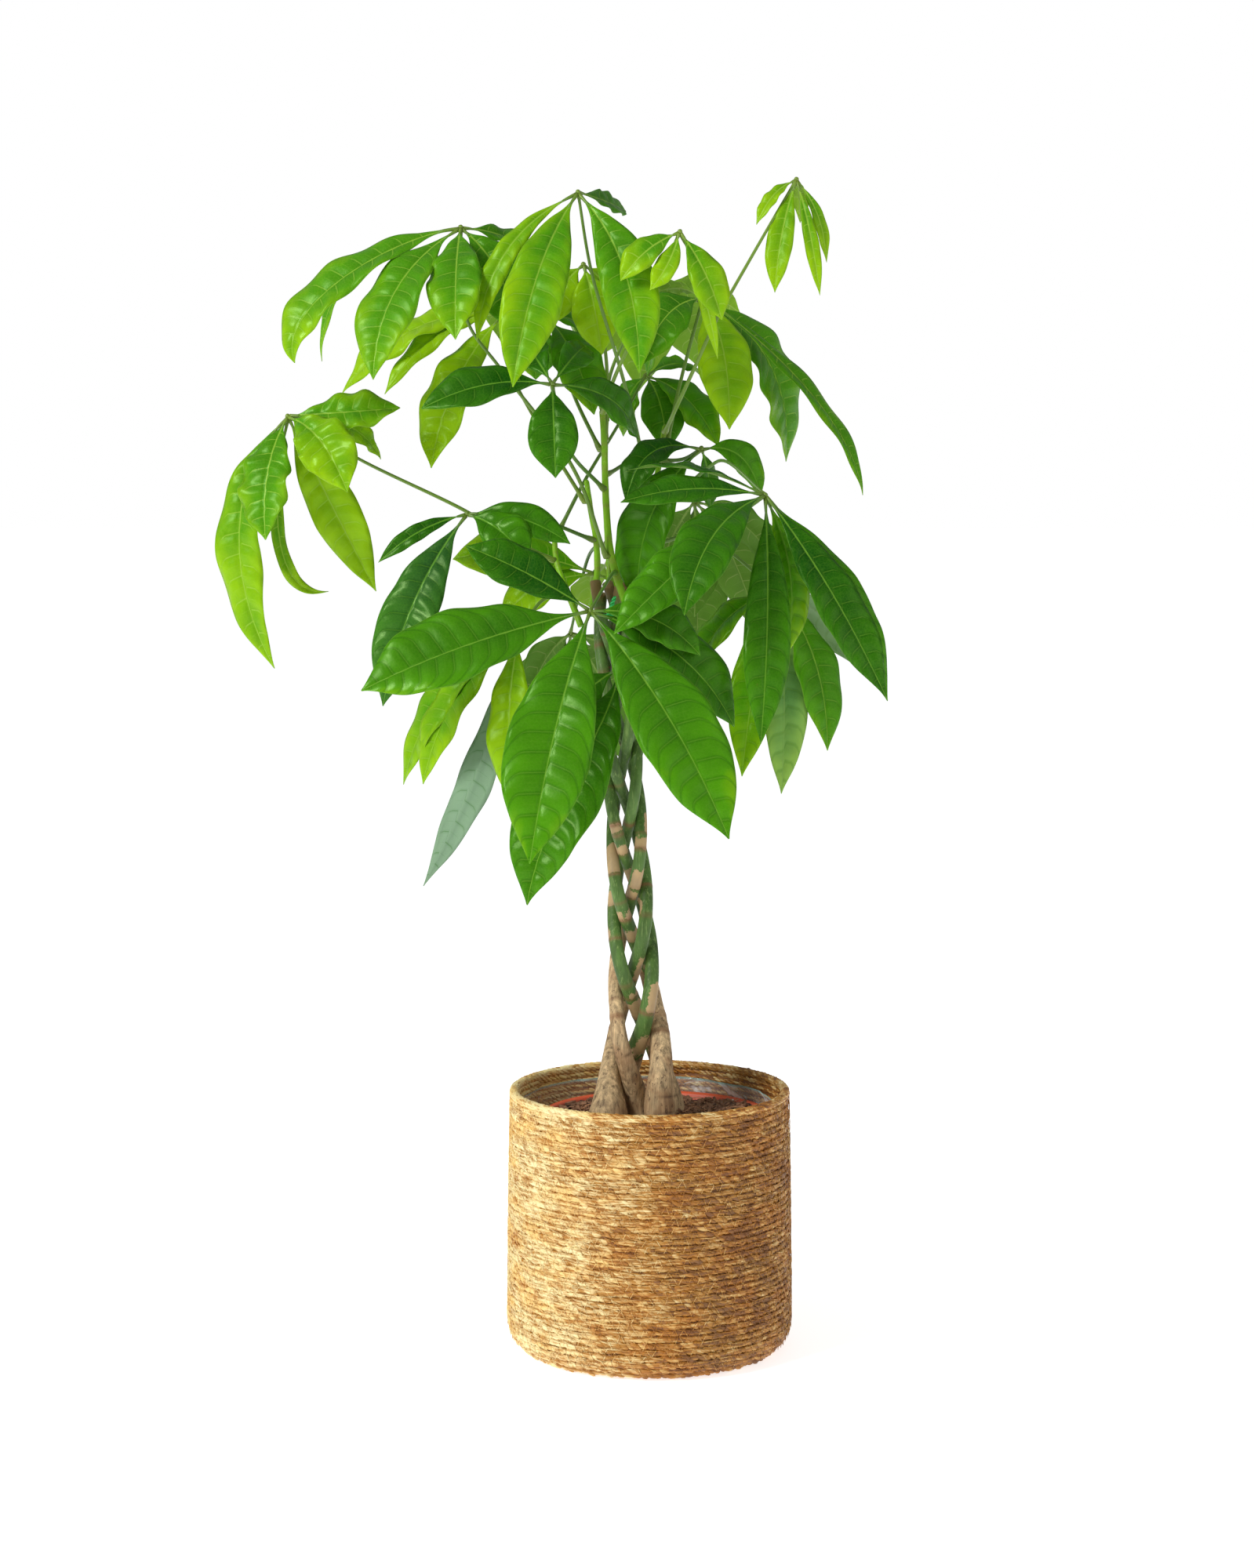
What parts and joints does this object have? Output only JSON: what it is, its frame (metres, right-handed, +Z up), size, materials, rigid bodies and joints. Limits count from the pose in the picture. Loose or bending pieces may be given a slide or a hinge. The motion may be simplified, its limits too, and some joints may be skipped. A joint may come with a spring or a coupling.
{
  "type": "potted money tree",
  "caption": "House plant with a braided trunk and drooping palmate leaves, rooted in a nursery pot that stands in a film-lined woven seagrass basket.",
  "frame": {"origin": "centre of the basket's flat underside", "axes": "+Z up along the trunk, -Y towards the front of the picture, +X to its right"},
  "size_m": [0.5001, 0.4193, 0.8917],
  "materials": {
    "seagrass": "matte",
    "film": "gloss",
    "terracotta_plastic": "satin",
    "potting_mix": "matte",
    "bark": "matte",
    "green_wood": "satin",
    "tie_wire": "satin",
    "leaf_young": "satin",
    "leaf_fresh": "satin",
    "leaf_mid": "satin",
    "leaf_dark": "satin"
  },
  "bodies": {
    "root": {"basket": "seagrass", "liner": "film", "nursery_pot": "terracotta_plastic", "soil": "potting_mix", "stem_left": "bark", "stem_middle": "bark", "stem_right": "bark", "stem_back_right": "bark", "stem_back_left": "bark", "tie": "tie_wire", "shoot_front": "green_wood", "shoot_left": "green_wood", "shoot_low_left": "green_wood", "shoot_right": "green_wood", "shoot_back": "green_wood", "leaf_top_centre": "leaf_fresh", "leaf_top_inner": "leaf_young", "leaf_top_right": "leaf_young", "leaf_far_right_top": "leaf_young", "leaf_upper_left": "leaf_fresh", "leaf_left_yellow": "leaf_young", "leaf_far_left": "leaf_young", "leaf_dark_front": "leaf_dark", "leaf_behind_top": "leaf_mid", "leaf_right_bright": "leaf_fresh", "leaf_olive": "leaf_dark", "leaf_right_dark": "leaf_dark", "leaf_right_large": "leaf_dark", "leaf_right_low": "leaf_mid", "leaf_front_large": "leaf_dark", "leaf_front_low": "leaf_dark", "leaf_mid_left": "leaf_dark", "leaf_centre_pale": "leaf_young", "leaf_low_left": "leaf_fresh", "leaf_back_top": "leaf_fresh", "leaf_back_left_top": "leaf_fresh", "leaf_back_right": "leaf_dark", "leaf_back_low": "leaf_dark"}
  },
  "joints": []
}
